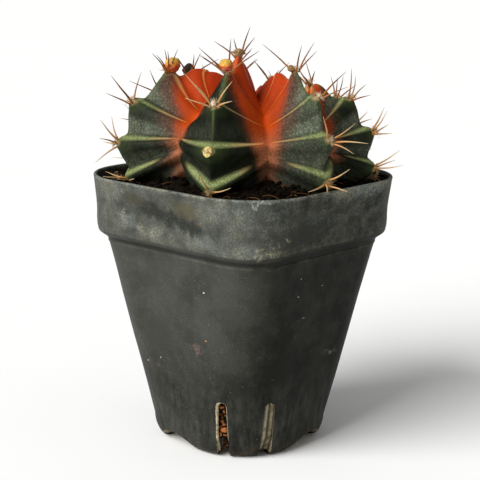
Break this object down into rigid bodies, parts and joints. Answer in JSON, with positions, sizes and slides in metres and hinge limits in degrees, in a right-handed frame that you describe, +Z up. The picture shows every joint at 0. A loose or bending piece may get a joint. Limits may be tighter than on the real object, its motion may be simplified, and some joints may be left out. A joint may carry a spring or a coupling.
{
  "type": "potted moon cactus",
  "caption": "Squat ribbed cactus with sharp crests, curved spines and small buds, standing in soil in a square plastic nursery pot with a deep rim and slotted corner feet.",
  "frame": {"origin": "middle of the pot's four corner feet, on the plane they stand on", "axes": "+Z up along the pot; the pot's flat sides face along X and Y; the picture looks from the corner between -X and -Y"},
  "size_m": [0.0786, 0.0849, 0.1171],
  "materials": {
    "pot_plastic": "dark grey, dusty, with a pale mineral film on the rim",
    "soil": "near-black crumbly potting soil with bits of bark and coir",
    "cactus_skin": "grey-green waxy skin, red-orange in the furrows, with pale bands"
  },
  "bodies": {
    "root": {"pot": "pot_plastic", "soil": "soil", "cactus": "cactus_skin"}
  },
  "joints": []
}
